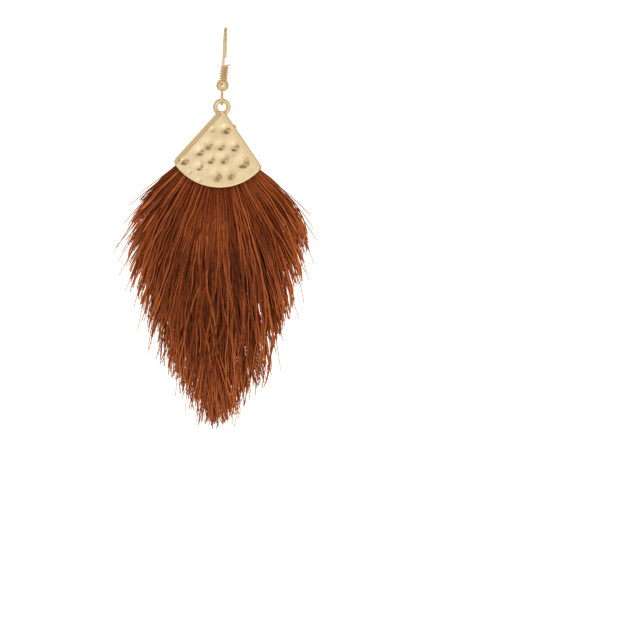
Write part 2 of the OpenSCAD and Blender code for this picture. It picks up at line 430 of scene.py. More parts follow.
def gold_material(name, colour, patina, rough, grain, worn=None):
    """Plated metal: cloudy satin, fine grain, and a darker film that stays in the hollows."""
    material, tree, shader = new_material(name)
    place = node(tree, "ShaderNodeTexCoord").outputs["Object"]
    film = noise(tree, place, 420.0, 4.0, 0.6)
    fine = noise(tree, place, 5200.0, 3.0, 0.65)
    if worn:
        film = weigh(tree, attribute(tree, worn), 0.40, film)
    tint = ramp(tree, film, (0.30, shade(colour, 1.04)), (0.62, colour), (1.0, patina))
    dull = remap(tree, film, 0.3, 0.9, rough, rough * 1.3)
    bump = node(
        tree, "ShaderNodeBump", {"Height": fine, "Strength": grain, "Distance": 0.03 * MM}
    ).outputs["Normal"]
    edge = (0.80, 0.58, 0.40, 1.0)
    fill(tree, shader, {"Base Color": tint, "Roughness": dull, "Normal": bump})
    fill(tree, shader, {"Metallic": 1.0, "Specular Tint": edge})
    return material


def thread_material(name, sizes):
    """Silky twisted thread: each one a little lighter or darker, with painted light near the
    mouth, painted shade in the middle of its length and in the grooves of its twist, and lighter
    towards its cut end.
    """
    material, tree, shader = new_material(name)
    dark, mid, light = (tuple(c) for c in (sizes.dark, sizes.colour, sizes.light))
    run = node(tree, "ShaderNodeUVMap", uv_map="Thread").outputs["UV"]
    patchy = noise(tree, node(tree, "ShaderNodeTexCoord").outputs["Object"], 900.0)
    # Lightness along the thread: painted light near the mouth, painted shade in the middle,
    # lighter at the cut end
    greys = ((place, (level,) * 3) for place, level in TONE_AND_PAINTED_LIGHT_ALONG)
    painted_light_along = ramp(tree, attribute(tree, "along"), *greys)
    level = weigh(tree, attribute(tree, "tone"), 0.80, weigh(tree, patchy, 0.25, painted_light_along))
    colour = ramp(tree, level, (0.1, dark), (0.5, mid), (1.0, light))
    ply = node(
        tree,
        "ShaderNodeTexWave",
        {"Vector": run, "Scale": 1.0, "Distortion": 0.6, "Detail": 1.0, "Detail Scale": 2.0},
        wave_type="BANDS",
        bands_direction="DIAGONAL",
    ).outputs["Fac"]
    bump = node(
        tree, "ShaderNodeBump", {"Height": ply, "Strength": 0.5, "Distance": 0.04 * MM}
    ).outputs["Normal"]
    # Painted shade: the colour is darkened in the grooves between the plies of the twist
    painted_groove_shade = remap(tree, ply, 0.0, 1.0, 0.78)
    twist = node(
        tree, "ShaderNodeVectorMath", {0: colour, "Scale": painted_groove_shade}, operation="SCALE"
    ).outputs["Vector"]
    looks = {
        "Base Color": twist,
        "Normal": bump,
        "Roughness": 0.48,
        "Specular IOR Level": 0.22,
        "Specular Tint": (1.0, 0.50, 0.25, 1.0),
        "Sheen Weight": 0.05,
        "Sheen Roughness": 0.4,
        "Sheen Tint": (*light, 1.0),
    }
    fill(tree, shader, looks)
    return material


def length_prop(name, about, size):
    """A length, with its default in millimetres."""
    return FloatProperty(
        name=name, description=about, default=size * MM, subtype="DISTANCE", unit="LENGTH"
    )


def angle_prop(name, about, size):
    """An angle, with its default in degrees."""
    return FloatProperty(
        name=name, description=about, default=math.radians(size), subtype="ANGLE", unit="ROTATION"
    )


def colour_prop(name, about, colour):
    """A colour of red, green and blue, each from 0 to 1."""
    return FloatVectorProperty(
        name=name, description=about, default=colour, subtype="COLOR", min=0.0, max=1.0
    )


class EARRING_PG_wire(bpy.types.PropertyGroup):
    """Sizes and colours of the ear wire, its coil and its bead."""

    lean: angle_prop("Lean", "Sideways lean of the ear wire as it hangs", 2.4)
    coil_foot: length_prop(
        "Coil Foot", "Height of the coil's foot below the top of the crook", 12.84
    )
    coil_line: length_prop("Coil Radius", "Radius of the coil, to the middle of its wire", 0.85)
    coil_wire: length_prop("Coil Wire", "Thickness of the coil's wire", 0.39)
    turns: FloatProperty(
        name="Turns", description="Number of turns in the coil", default=5.75, min=3, max=9
    )
    coil_lean: angle_prop("Coil Lean", "Lean of the coil on the ear wire", 4.2)
    coil_shift: length_prop(
        "Coil Shift", "How far right of the ear wire's leg the coil's foot sits", 0.25
    )
    coil_colour: colour_prop("Coil Colour", "Colour of the coil's plating", (0.88, 0.64, 0.34))
    colour: colour_prop("Colour", "Colour of the polished gold plating", (0.90, 0.72, 0.48))
    patina: colour_prop("Film", "Colour of the thin film on the plating", (0.56, 0.35, 0.14))


class EARRING_PG_cap(bpy.types.PropertyGroup):
    """Sizes and colours of the hammered cap."""

    angle: angle_prop("Angle", "Angle between the two slanted sides", 76.3)
    drop: length_prop(
        "Height", "Height from the middle of the ring to the lowest point of the mouth", 20.35
    )
    mouth: length_prop("Mouth Radius", "Radius of the mouth's curve", 13.8)
    thick: length_prop("Thickness", "Thickness from front to back", 4.8)
    corner: length_prop("Corner Radius", "Radius of the three rounded corners", 1.35)
    wall: length_prop("Wall", "Thickness of the side walls and the back wall", 0.8)
    face_wall: length_prop("Front Wall", "Thickness of the hammered front wall", 1.1)
    bevel_wide: length_prop("Bevel Width", "Width of the bevel along each slanted side", 1.15)
    bevel_deep: length_prop("Bevel Depth", "Depth of that bevel", 0.6)
    mark_deep: length_prop("Mark Depth", "Depth of the deepest hammer marks", 0.42)
    ring: length_prop("Ring Radius", "Radius of the ring, to the middle of its wire", 1.67)
    ring_wire: length_prop("Ring Wire", "Thickness of the ring's wire", 1.15)
    lean: angle_prop("Lean", "Sideways lean of the cap as it hangs", 4.1)
    grid: length_prop("Surface Grid", "Size of the faces that the cast surface is made of", 0.13)
    seed: IntProperty(
        name="Seed", description="Pattern of the shallow blows between the marks", default=4
    )
    colour: colour_prop("Colour", "Colour of the pale satin gold", (0.87, 0.70, 0.44))
    patina: colour_prop("Film", "Colour of the film in the hollows", (0.60, 0.41, 0.19))


class EARRING_PG_tassel(bpy.types.PropertyGroup):
    """Sizes and colours of the threads."""

    length: length_prop("Length", "Length of the tassel below the mouth", 61.0)
    width: length_prop("Width", "Width of the tassel where it is widest", 48.5)
    depth: length_prop("Depth", "Depth of the tassel from front to back", 8.4)
    thick: length_prop("Thread", "Thickness of one thread", 0.375)
    count: IntProperty(
        name="Threads", description="Number of threads", default=1650, min=200, max=5000
    )
    tufts: IntProperty(
        name="Tufts",
        description="Number of tufts that the threads draw together into",
        default=430,
        min=10,
        max=1000,
    )
    seed: IntProperty(name="Seed", description="Pattern of the threads", default=11)
    # The dark end also gives the painted shade of threads deep in the tassel, and the light end
    # the painted light at the sides, near the mouth and on crossing threads
    dark: colour_prop("Dark", "Colour of the darkest threads", (0.025, 0.0058, 0.0036))
    colour: colour_prop("Colour", "Colour of most threads", (0.188, 0.036, 0.0110))
    light: colour_prop("Light", "Colour of the lightest threads and ends", (0.510, 0.134, 0.038))


class EARRING_PG_stage(bpy.types.PropertyGroup):
    """Camera, floor and light."""

    azimuth: angle_prop("Azimuth", "Direction of the camera round the earring", 2.0)
    lens: FloatProperty(
        name="Lens", description="Focal length of the camera in millimetres", default=400.0
    )
    wide: length_prop("Frame Width", "Width of the picture at the earring", 157.4)
    across: length_prop("Aim Across", "How far right of the crook the camera aims", 22.1)
    down: length_prop("Aim Below", "How far below the crook the camera aims", 70.4)
    floor: length_prop("Floor", "Depth of the floor below the crook", 130.0)
    key: FloatProperty(
        name="Key Light", description="Power of the key light in watts", default=1.3
    )
    paper: colour_prop("Floor Colour", "Colour of the floor and the backdrop", (0.92, 0.92, 0.92))


class EARRING_OT_wire(bpy.types.Operator):
    """Give the ear wire and its bead their gold plating"""

    bl_idname = "earring.finish_wire"
    bl_label = "Finish Ear Wire and Bead"
    bl_options = {"REGISTER", "UNDO"}

    def execute(self, context):
        sizes = context.scene.earring_wire
        # The ear wire and the bead take the plating colour a little darkened, by 0.98 and 0.95, as
        # painted shade
        for name, rough, grain, level in (
            ("ear_hook", 0.26, 0.10, 0.98),
            ("bead", 0.15, 0.06, 0.95),
        ):
            title = f"Polished gold, {name.replace('_', ' ')}"
            colours = shade(sizes.colour, level), tuple(sizes.patina)
            plated = gold_material(title, *colours, rough, grain)
            for place in frame["nodes"][name].material_slots:
                place.material = plated
        return {"FINISHED"}


class EARRING_OT_coil(bpy.types.Operator):
    """Wind the fine wire coil over the bead"""

    bl_idname = "earring.add_coil"
    bl_label = "Add Coil"
    bl_options = {"REGISTER", "UNDO"}

    def execute(self, context):
        sizes = context.scene.earring_wire
        wire, line, turns = sizes.coil_wire, sizes.coil_line, sizes.turns
        sides, steps = 12, 40
        coil = begin(
            "wire_coil",
            bpy.ops.mesh.primitive_circle_add,
            vertices=sides,
            radius=wire / 2,
            location=(line, 0, 0),
            rotation=(math.radians(90), 0, 0),
        )
        rounds = math.ceil(turns)
        modify(
            coil,
            "SCREW",
            angle=-2 * math.pi * turns / rounds,
            screw_offset=turns / rounds * MM,
            iterations=rounds,
            steps=steps,
            render_steps=steps,
            use_merge_vertices=False,
            use_normal_calculate=True,
        )
        # The screw rises 1 mm a turn, so the height of a point tells its turn. A turn starts at
        # the right, with the front a quarter of it on. The first lies flat on the bead. The others
        # are a little apart, and rise at the back
        pitch = COIL.pitch * wire
        circle, front = 2 * math.pi, 0.25
        for point in coil.data.vertices:
            turn = point.co.z / MM
            angle = math.atan2(-point.co.x, -point.co.y) / circle + front
            wound = round(turn - angle) + angle
            if wound < 1:
                rise = pitch * (COIL.first * max(wound, 0) ** COIL.late)
            else:
                rise = pitch * (wound - (1 - COIL.first))
            level = COIL.level / circle * min(max(wound, 0), 1)
            rise -= pitch * level * math.sin(circle * (wound - front))
            point.co.z = wire / 2 + rise + (turn - wound) * MM
        # Both ends are closed. The upper one, within a wire's thickness of the top, is drawn out
        edit(coil)
        top = max(point.co.z for point in coil.data.vertices) - wire * 1.01
        pick(coil, "EDGE", lambda edge: edge.is_boundary)
        bpy.ops.mesh.fill_holes(sides=sides)
        pick(
            coil,
            "FACE",
            lambda face: len(face.verts) == sides and face.calc_center_median().z > top,
        )
        for across, back, up in COIL_END:
            bpy.ops.mesh.extrude_region_move(
                TRANSFORM_OT_translate={"value": (across * line, back * line, up * MM)}
            )
        turn_out()
        bpy.ops.object.shade_smooth_by_angle(angle=math.radians(50))
        leg = Vector((sizes.coil_shift, HANG_AT.y, -sizes.coil_foot))
        middle = Vector((0, 0, turns * pitch / 2 + wire / 4))
        settle(
            coil,
            (0, 0, 0),
            (
                sideways(sizes.lean),
                Matrix.Translation(leg + middle),
                sideways(sizes.coil_lean),
                Matrix.Translation(-middle),
            ),
        )
        # The coil's film is made darker as painted shade for the gaps between its turns; the noise
        # lays it in patches over the whole coil
        plated = gold_material(
            "Polished gold, coil", tuple(sizes.coil_colour), shade(sizes.patina, 0.8), 0.22, 0.08
        )
        hand_over(coil, "hook", "gold_wire", plated, "coil")
        return {"FINISHED"}


def side_out(half, side):
    """Direction square to a slanted side, pointing out."""
    return Vector((side * math.cos(half), 0, math.sin(half)))


def side_meets(sizes, inset, radius):
    """Where a line set in from the right side meets a circle round the mouth's middle, (x, z)."""
    half = sizes.angle / 2
    way = Vector((math.sin(half), -math.cos(half)))
    out = Vector((math.cos(half), math.sin(half)))
    middle = Vector((0, sizes.mouth - sizes.drop))
    start = Vector((0, -SIDES_MEET * sizes.ring)) - inset * out - middle
    along = -start.dot(way) + math.sqrt(start.dot(way) ** 2 - start.dot(start) + radius**2)
    return middle + start + along * way


def disc(name, radius, thick, middle, sides=288):
    """A round plate that faces the front."""
    return begin(
        name,
        bpy.ops.mesh.primitive_cylinder_add,
        vertices=sides,
        radius=radius,
        depth=thick,
        location=middle,
        rotation=(math.radians(90), 0, 0),
    )


def cut_fan(sizes):
    """The closed fan: the mouth's curve and three round corners, joined by their hull."""
    half = sizes.angle / 2
    apex = Vector((0, -SIDES_MEET * sizes.ring - sizes.corner / math.sin(half)))
    corner = side_meets(sizes, sizes.corner, sizes.mouth - sizes.corner)
    middle = Vector((0, sizes.mouth - sizes.drop))
    touch = middle + (corner - middle).normalized() * sizes.mouth
    fan = disc("hammered_cap", sizes.mouth, sizes.thick, (0, 0, middle[1]))
    cut(fan, (0, 0, touch[1]), (0, 0, 1))
    rounds = [
        disc("Corner", sizes.corner, sizes.thick, (x, 0, z), sides=48)
        for x, z in (apex, corner, (-corner[0], corner[1]))
    ]
    join(fan, *rounds)
    edit(fan)
    bpy.ops.mesh.convex_hull()
    bpy.ops.object.mode_set(mode="OBJECT")
    for side in (-1, 1):
        slope = side_out(half, side) * sizes.bevel_deep - Vector((0, sizes.bevel_wide, 0))
        edge = (0, -sizes.thick / 2 + sizes.bevel_deep, -SIDES_MEET * sizes.ring)
        cut(fan, edge, slope.normalized())
    return fan


def cut_hollow(sizes):
    """The space for the threads, open at the mouth."""
    half = sizes.angle / 2
    front = sizes.face_wall - sizes.thick / 2
    back = sizes.thick / 2 - sizes.wall
    middle = (0, (front + back) / 2, sizes.mouth - sizes.drop)
    space = disc("Hollow", sizes.mouth + 4 * sizes.wall, back - front, middle)
    for side in (-1, 1):
        out = side_out(half, side)
        cut(space, Vector((0, 0, -SIDES_MEET * sizes.ring)) - out * sizes.wall, out)
    cut(space, (0, 0, -sizes.ring - sizes.ring_wire - sizes.wall), (0, 0, 1))
    return space


def hammer(cap, sizes):
    """Pushes in each mark, then faint ones between them."""
    rng = np.random.default_rng(sizes.seed)
    half = sizes.angle / 2
    face = -sizes.thick / 2
    blows = []
    for x, z, wide, tall, share in MARKS:
        x, z, wide, tall = x * MM, -z * MM, wide * MM, tall * MM
        deep = share * sizes.mark_deep
        reach = math.sqrt(wide * tall)
        apart = max(0.0, TWIN_APART * (wide - tall))
        for side in (-apart, apart) if apart else (0.0,):
            for falloff, across, up, far, part in BLOWS:
                part = part * deep * (TWIN_DEEP if apart else 1.0)
                place = (x + across * wide + side, z + up * tall)
                room = (-place[1] * math.tan(half) - abs(place[0])) * math.cos(half)
                room = max(room - sizes.bevel_wide + OVER_BEVEL * MM, LEAST_REACH * reach)
                blows.append((falloff, *place, part, min(far * reach, room)))
    for _ in range(FAINT.count):
        z = rng.uniform(*FAINT.down) * MM
        room = min((z * math.tan(half)) - FAINT.inset * MM, FAINT.within * MM)
        x = rng.uniform(-room, room)
        deep, reach = rng.uniform(*FAINT.deep) * MM, rng.uniform(*FAINT.reach) * MM
        blows.append(("SMOOTH", x, -z, min(deep, FAINT.steep * reach), reach))
    before = np.array([point.co for point in cap.data.vertices])
    front = np.flatnonzero(before[:, 1] < face + 0.1 * MM)
    edit(cap)
    for falloff, x, z, deep, reach in blows:
        gap = np.hypot(before[front, 0] - x, before[front, 2] - z)
        nearest = int(front[gap.argmin()])
        bpy.ops.mesh.select_all(action="DESELECT")
        mesh = bmesh.from_edit_mesh(cap.data)
        mesh.verts.ensure_lookup_table()
        mesh.verts[nearest].select_set(True)
        bpy.ops.transform.translate(
            value=(0, deep, 0),
            use_proportional_edit=True,
            proportional_edit_falloff=falloff,
            proportional_size=reach,
            use_proportional_connected=True,
        )
    bpy.ops.object.mode_set(mode="OBJECT")
    after = np.array([point.co for point in cap.data.vertices])
    low = cap.data.attributes.new("hollow", "FLOAT", "POINT")
    low.data.foreach_set(
        "value", np.clip((after - before)[:, 1] / sizes.mark_deep, 0, 1).astype(np.float32)
    )


class EARRING_OT_cap(bpy.types.Operator):
    """Cast the hammered cap with its ring"""

    bl_idname = "earring.add_cap"
    bl_label = "Add Cap"
    bl_options = {"REGISTER", "UNDO"}

    def execute(self, context):
        sizes = context.scene.earring_cap
        half = sizes.angle / 2
        cap = cut_fan(sizes)
        space = cut_hollow(sizes)
        modify(cap, "BOOLEAN", object=space, operation="DIFFERENCE", solver="EXACT")
        bpy.data.objects.remove(space)
        ring = begin(
            "Ring",
            bpy.ops.mesh.primitive_torus_add,
            major_radius=sizes.ring,
            minor_radius=sizes.ring_wire / 2,
            major_segments=96,
            minor_segments=32,
            rotation=(math.radians(90), 0, 0),
        )
        down = NUB.down * sizes.drop
        side = (down - SIDES_MEET * sizes.ring) * math.tan(half) - NUB.sunk * MM / math.cos(half)
        nub = begin(
            "Nub",
            bpy.ops.mesh.primitive_uv_sphere_add,
            segments=32,
            ring_count=16,
            radius=NUB.radius * MM,
            location=(side, -NUB.front * sizes.thick, -down),
        )
        modify(nub, "BOOLEAN", object=cap, operation="DIFFERENCE", solver="EXACT")
        join(cap, ring, nub)
        modify(cap, "REMESH", mode="VOXEL", voxel_size=sizes.grid, adaptivity=0.0)
        modify(cap, "SMOOTH", factor=0.5, iterations=5)
        if not cap.data.vertices:
            raise RuntimeError("the cap has no faces left")
        hammer(cap, sizes)
        modify(cap, "SMOOTH", factor=0.5, iterations=2)
        bpy.ops.object.shade_smooth()
        settle(cap, HANG_AT - Vector((0, 0, sizes.ring)), (sideways(sizes.lean),))
        colours = tuple(sizes.colour), tuple(sizes.patina)
        cast = gold_material("Satin gold, hammered cap", *colours, 0.18, 0.20, worn="hollow")
        hand_over(cap, "drop", "gold_cast", cast, "cap")
        return {"FINISHED"}


def thread_template(sides=3, rings=28):
    """One thread, modelled once: points, faces and the place of each corner round and along it."""
    thread = begin(
        "Thread",
        bpy.ops.mesh.primitive_cylinder_add,
        vertices=sides,
        radius=1.0,
        depth=1.0,
        location=(0, 0, 0.5),
    )
    edit(thread)
    pick(thread, "EDGE", lambda edge: abs(edge.verts[0].co.z - edge.verts[1].co.z) > 0.5)
    bpy.ops.mesh.subdivide(number_cuts=rings - 1)
    bpy.ops.object.mode_set(mode="OBJECT")
    points = np.array([point.co for point in thread.data.vertices])
    faces = [tuple(face.vertices) for face in thread.data.polygons]
    angle = np.arctan2(points[:, 1], points[:, 0]) / (2 * math.pi)
    corners = []
    for face in faces:
        turns = angle[list(face)]
        if len(face) == 4 and np.ptp(points[list(face), 2]) > 0:
            turns = np.where(turns < turns.max() - 0.5, turns + 1, turns)
        corners += list(zip(turns, points[list(face), 2]))
    bpy.data.objects.remove(thread)
    return points, faces, np.array(corners), rings


def leaf(place):
    """Reach and fall of the ends on the leaf's outline, as shares, from places along the mouth."""
    rows = np.array(LEAF)
    reach = np.interp(place, rows[:, 0], rows[:, 1])
    return reach, np.interp(place, rows[:, 0], rows[:, 2])


def by_side(place, sides, left, middle, right):
    """A value for each place along the mouth: at the left, in the middle or at the right."""
    return np.where(place < sides[0], left, np.where(place > sides[1], right, middle))


def roots(cap, place, inside, own_way):
    """Start and first direction of threads, in the frame of the ring, as arrays of (x, z)."""
    foot = side_meets(cap, cap.wall + 0.25 * MM, cap.mouth)
    middle = np.array([0.0, cap.mouth - cap.drop])
    widest = math.atan2(foot[0], middle[1] - foot[1])
    bearing = place * widest
    start = middle + (cap.mouth - inside)[:, None] * np.stack(
        [np.sin(bearing), -np.cos(bearing)], 1
    )
    splay = np.where(place < 0, *SPLAY) * bearing + own_way
    way = np.stack([np.sin(splay), -np.cos(splay)], 1)
    turn = np.array(
        [[math.cos(cap.lean), -math.sin(cap.lean)], [math.sin(cap.lean), math.cos(cap.lean)]]
    )
    return start @ turn, way @ turn


def build_threads(name, template, paths, radius, tone):
    """Copies the thread along each path. Paths, radius and tone have a row for each thread."""
    points, faces, corners, rings = template
    count = len(paths)
    step = np.gradient(paths, axis=1)
    step /= np.linalg.norm(step, axis=2, keepdims=True)
    side = np.cross(step, [0.0, 1.0, 0.0])
    side /= np.linalg.norm(side, axis=2, keepdims=True)
    third = np.cross(side, step)
    ring = np.rint(points[:, 2] * rings).astype(int)
    placed = (
        paths[:, ring]
        + radius[:, ring, None] * points[:, 0][None, :, None] * side[:, ring]
        + radius[:, ring, None] * points[:, 1][None, :, None] * third[:, ring]
    )
    size = len(points)
    every = [
        tuple(index + thread * size for index in face) for thread in range(count) for face in faces
    ]
    mesh = bpy.data.meshes.new(name)
    mesh.from_pydata(placed.reshape(-1, 3).tolist(), [], every)
    length = np.linalg.norm(np.diff(paths, axis=1), axis=2).sum(1)
    run = np.empty((count, len(corners), 2), np.float32)
    run[:, :, 0] = corners[:, 0]
    run[:, :, 1] = corners[:, 1] * length[:, None] / MM
    mesh.uv_layers.new(name="Thread").data.foreach_set("uv", run.ravel())
    tones = tone[:, ring].astype(np.float32).ravel()
    mesh.attributes.new("tone", "FLOAT", "POINT").data.foreach_set("value", tones)
    along = np.tile(points[:, 2], count).astype(np.float32)
    mesh.attributes.new("along", "FLOAT", "POINT").data.foreach_set("value", along)
    obj = bpy.data.objects.new(name, mesh)
    bpy.context.scene.collection.objects.link(obj)
    edit(obj)
    turn_out()
    bpy.ops.object.shade_smooth_by_angle(angle=math.radians(100))
    return obj


def lay_tufts(rng, count):
    """Tufts over the mouth's width, closest in its middle, and at jittered depths."""
    place = np.linspace(-1, 1, count)
    place = np.sign(place) * np.abs(place) ** TUFT_CROWD
    place = place + rng.normal(0, SPREAD.tuft / count, count)
    deep = rng.uniform(-1, 1, count)
    near_tip = 0.5 + 0.5 * np.minimum(1, np.abs(place) / MIDDLE)
    short = rng.beta(*CHANCE.tuft, count) * SHORT.tuft * MM * near_tip
    tone = rng.uniform(0, 1, count)
    wave = rng.uniform(-1, 1, (count, 5))
    crosses = (rng.random(count) < CROSSING.share) & (np.abs(place) < CROSSING.within)
    aside = np.where(crosses, rng.uniform(*CROSSING.aside, count), 0.0)
    return Named(
        place=place, deep=deep, short=short, tone=tone, wave=wave, crosses=crosses, aside=aside
    )


def lay_threads(rng, sizes, tufts):
    """Root, end, length, tone and thickness of each thread. The strays come last."""
    count = sizes.count
    clumps = np.sort(np.concatenate([np.arange(*row) for row in CLUMPS]))
    clumps = clumps + rng.normal(0, SPREAD.clump, len(clumps))
    pull = by_side(clumps, TUFT_SIDES, *CLUMP_PULL)

    tuft = np.arange(count) % sizes.tufts
    tuft_deep = tufts.deep[tuft]
    crosses = tufts.crosses[tuft]
    place = rng.uniform(-1, 1, count)
    own = by_side(tufts.place, TUFT_SIDES, *OWN_PLACE)[tuft]
    near_tuft = tufts.place[tuft] + rng.normal(0, SPREAD.root, count)
    place = np.clip(own * place + (1 - own) * near_tuft, -1, 1)
    root_deep = DEPTH.tuft * tuft_deep + (1 - DEPTH.tuft) * rng.uniform(-1, 1, count)
    loose = rng.random(count) < by_side(place, THREAD_SIDES, *LOOSE_SHARE)

    # Ends lie with their tuft, or apart if the thread is loose, and draw together in clumps
    end = tufts.place[tuft] + tufts.aside[tuft] + rng.normal(0, SPREAD.end, count)
    end = np.where(loose, place + rng.normal(0, SPREAD.loose, count), end)
    nearest = np.abs(end[:, None] - clumps[None, :]).argmin(1)
    drawn = np.where(loose, LOOSE_PULL, 1.0) * pull[nearest]
    end = end + drawn * (clumps[nearest] - end)
    end = np.clip(end + rng.normal(0, SPREAD.cut, count), -1, 1)

    # Crossing and loose threads lie on the surface
    end_deep = tuft_deep + rng.normal(0, SPREAD.deep, count)
    end_deep = np.clip(end_deep, -DEPTH.most, DEPTH.most)
    over = np.sign(tuft_deep) * rng.uniform(*DEPTH.crossing, count)
    end_deep = np.where(crosses, over, end_deep)
    over = np.sign(root_deep) * rng.uniform(*DEPTH.loose, count)
    end_deep = np.where(loose, over, end_deep)

    short = rng.beta(*CHANCE.loose, count) * SHORT.loose * MM
    short = np.where(loose, short, tufts.short[tuft])
    uneven = np.where(np.abs(clumps) > MIDDLE, SHORT.clump[1], SHORT.clump[0])
    uneven = rng.uniform(0, 1, len(clumps)) * uneven * MM
    ragged = np.where(np.abs(place) > MIDDLE, SHORT.thread[1], SHORT.thread[0]) * MM
    longer = np.interp(np.abs(place), *LONGER) * MM
    short = short + uneven[nearest] + rng.beta(*CHANCE.thread, count) * ragged - longer
    tone = TONE.least + TONE.tuft * tufts.tone[tuft] + TONE.own * rng.random(count)
    # Threads that cross over the others get a painted highlight
    tone = tone + TONE.crossing * crosses
    thick = sizes.thick * rng.uniform(0.75, 1.15, count) * np.where(loose, LOOSE_THICK, 1.0)

    strays = np.array(STRAYS)
    extra = len(strays)
    none = np.zeros(extra)
    calm = by_side(place, THREAD_SIDES, *WAVY)
    side = by_side(place, THREAD_SIDES, True, False, True)
    return Named(
        place=np.append(place, strays[:, 0]),
        root_deep=np.append(root_deep, rng.uniform(-0.6, 0.6, extra)),
        end=end,
        end_deep=np.append(end_deep, rng.uniform(-0.5, 0.5, extra)),
        tone=np.append(tone, rng.uniform(0.3, 0.8, extra)),
        thick=np.append(thick, np.full(extra, STRAY_THICK * sizes.thick)),
        short=np.append(short, none),
        calm=np.append(calm, np.ones(extra)),
        free=np.append(np.where(loose, 1.0, BOUND) * calm, none),
        shared=np.concatenate([tufts.wave[tuft] * calm[:, None], np.zeros((extra, 5))]),
        aside=np.append(side, np.ones(extra, bool)),
        stray=np.arange(count + extra) >= count,
    )


def thread_curves(rng, sizes, cap, threads, t):
    """Threads without their waves, as (x, z), and how far along the tassel's length they are."""
    strays = np.array(STRAYS)
    inside = rng.uniform(*INSIDE, len(threads.place)) * MM
    own_way = rng.normal(0, SPREAD.way, len(threads.end))
    own_way = np.append(own_way, np.zeros(len(strays))) * (1 - 0.5 * threads.place**2)
    start, way = roots(cap, threads.place, inside, own_way)
    low = np.array([-cap.drop * math.sin(cap.lean), -cap.drop * math.cos(cap.lean)])
    reach, fall = leaf(threads.end)
    ends = low + np.stack([reach * sizes.width / 2, -fall * sizes.length], 1)
    ends = np.concatenate([ends, strays[:, 1:] * [MM, -MM]])
    gap = np.linalg.norm(ends - start, axis=1)
    bulge = np.where(threads.place > 0, BULGE[1], BULGE[0]) * threads.place**2
    bend = start + way * ((0.45 + bulge) * gap)[:, None]
    u = t[None, :] * (1 - np.minimum(threads.short / gap, 0.45))[:, None]
    flat = (
        (1 - u)[..., None] ** 2 * start[:, None]
        + 2 * (u * (1 - u))[..., None] * bend[:, None]
        + u[..., None] ** 2 * ends[:, None]
    )
    return flat, u * gap[:, None] / sizes.length


def thread_waves(rng, threads, far):
    """Waves to the side and in depth, which grow away from the mouth."""
    # Columns of chances: the size of a wave and where it starts
    slow, slow_at, quick, quick_at, drift = threads.shared.T[..., None]
    own = rng.uniform(-1, 1, (len(far), 6))
    ripple, ripple_at, nod, nod_at, own_drift, pace = own.T[..., None]
    free, calm = threads.free[:, None], threads.calm[:, None]
    swing = HIGH.slow * MM * far**1.2
    small = HIGH.ripple * MM * np.clip(1.8 * far - 0.2, 0, 1) * (0.6 + 0.8 * free) * calm
    crimp = HIGH.crimp * MM * np.clip(6 * far, 0, 1) * ~threads.stray[:, None]
    layer = np.where(threads.aside, 0, 2.5 * np.sign(threads.end_deep))
    flow = np.sin(7 * threads.place + layer)[:, None]
    across = (
        swing * slow * np.sin(TURN.slow * far + 3 * slow_at)
        + swing * HIGH.quick * quick * np.sin(TURN.quick * far + 3 * quick_at)
        + HIGH.drift * MM * drift * far**2.5
        + HIGH.flow * MM * flow * np.sin(1 + TURN.flow * far) * far**1.5
        + HIGH.own_drift * MM * free * own_drift * far**2
        + small * ripple * np.sin((TURN.ripple + 8 * pace) * far + 6 * ripple_at)
        + crimp * np.sin((TURN.crimp + 9 * nod_at) * far + 6 * nod)
    )
    return across, small * nod * np.sin(TURN.nod * far + 6 * nod_at)


